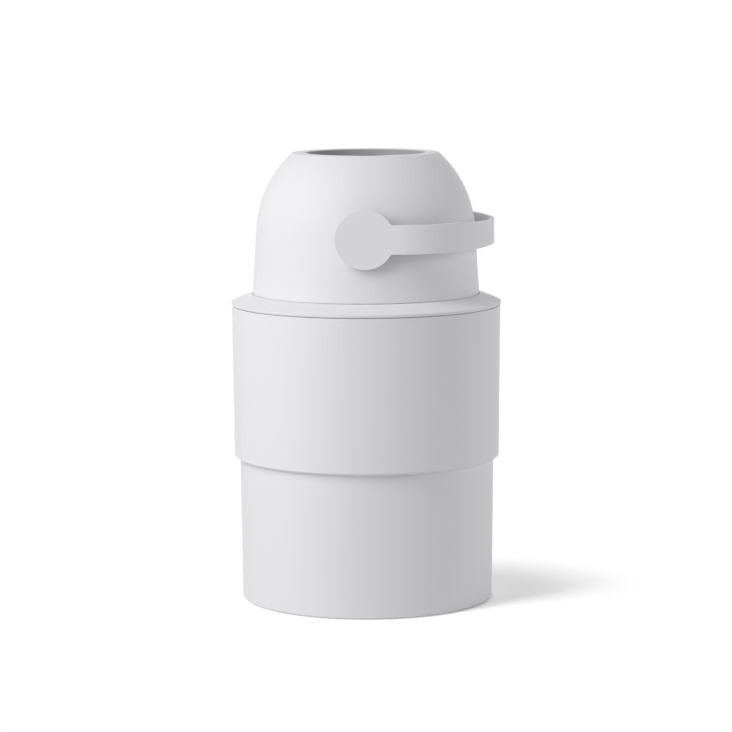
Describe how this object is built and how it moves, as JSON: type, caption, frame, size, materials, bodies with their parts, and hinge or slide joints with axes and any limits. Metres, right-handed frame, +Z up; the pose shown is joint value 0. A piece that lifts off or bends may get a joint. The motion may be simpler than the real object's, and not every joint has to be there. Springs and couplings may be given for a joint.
{
  "type": "nappy bin with a flip-over drum",
  "caption": "White domed nappy bin: flipping the bail handle turns a ball-shaped drum that drops the nappy into the bucket; the head hinges open at the back.",
  "frame": {"origin": "on the floor, at the bin's axis", "axes": "+Z up; -Y is the front, where a handle disc faces; the handle rests on the +X side; the head's hinge is at the back, +Y"},
  "size_m": [0.28, 0.2842, 0.4656],
  "materials": {
    "white_shell": "fine satin moulded",
    "white_handle": "fine satin moulded",
    "grey_plastic": "satin moulded",
    "grey_seal": "soft matt",
    "dark_rubber": "matt",
    "steel": "zinc plated"
  },
  "bodies": {
    "base": {"bucket": "white_shell", "rubber_feet": "dark_rubber", "upper_casing": "white_shell", "casing_screws": "steel", "bag_ring": "grey_plastic", "hinge_pin": "steel"},
    "head": {"dome_shell": "white_shell", "shoulder_ring": "white_shell", "head_floor": "white_shell", "upper_seal": "grey_seal", "lower_seal": "grey_seal", "head_gasket": "dark_rubber", "front_bush": "grey_plastic", "rear_bush": "grey_plastic", "head_screws": "steel"},
    "drum": {"drum_barrel": "grey_plastic", "drum_shell_upper": "grey_plastic", "drum_shell_lower": "grey_plastic", "retaining_ring_upper": "grey_plastic", "retaining_ring_lower": "grey_plastic", "handle": "white_handle", "handle_screws": "steel"},
    "piston": {"piston_upper": "grey_plastic", "piston_lower": "grey_plastic", "piston_weight": "steel", "piston_seal": "dark_rubber", "piston_screws": "steel"}
  },
  "joints": [
    {"name": "head_hinge", "type": "hinge", "parent": "base", "child": "head", "pos_m": [0, 0.14, 0.3041], "axis": [-1, 0, 0], "range_deg": [0, 95]},
    {"name": "handle_flip", "type": "hinge", "parent": "head", "child": "drum", "pos_m": [0, 0, 0.3847], "axis": [0, -1, 0], "range_deg": [0, 180]},
    {"name": "piston_slide", "type": "slide", "parent": "drum", "child": "piston", "axis": [0, 0, 1], "range_m": [0, 0.12208]}
  ]
}
